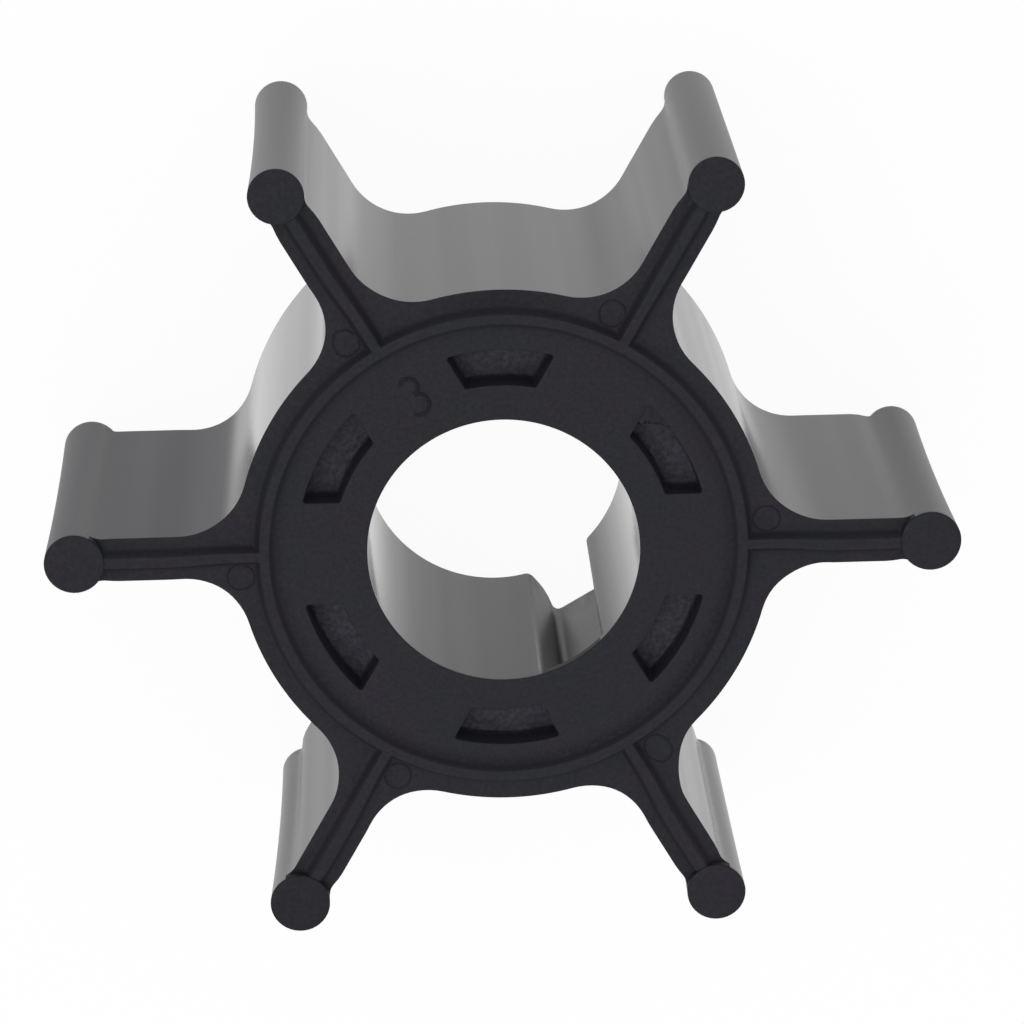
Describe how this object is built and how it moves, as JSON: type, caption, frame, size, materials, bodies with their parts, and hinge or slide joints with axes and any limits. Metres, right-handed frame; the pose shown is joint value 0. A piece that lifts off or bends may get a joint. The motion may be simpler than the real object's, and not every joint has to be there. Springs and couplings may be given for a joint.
{
  "type": "pump impeller",
  "caption": "Flexible-vane pump impeller in black rubber: a keyed hub with straight radial vanes that end in round bulbs, with raised beads on both end faces.",
  "frame": {"origin": "on the shaft axis, in the plane of the back ends of the bulbs, which the part rests on", "axes": "+Z along the shaft axis towards the marked front face, +X along the middle of one vane, the keyway lies at -60 degrees from +X"},
  "size_m": [0.0422, 0.037, 0.018],
  "materials": {
    "rubber": "satin"
  },
  "bodies": {
    "root": {"impeller": "rubber"}
  },
  "joints": []
}
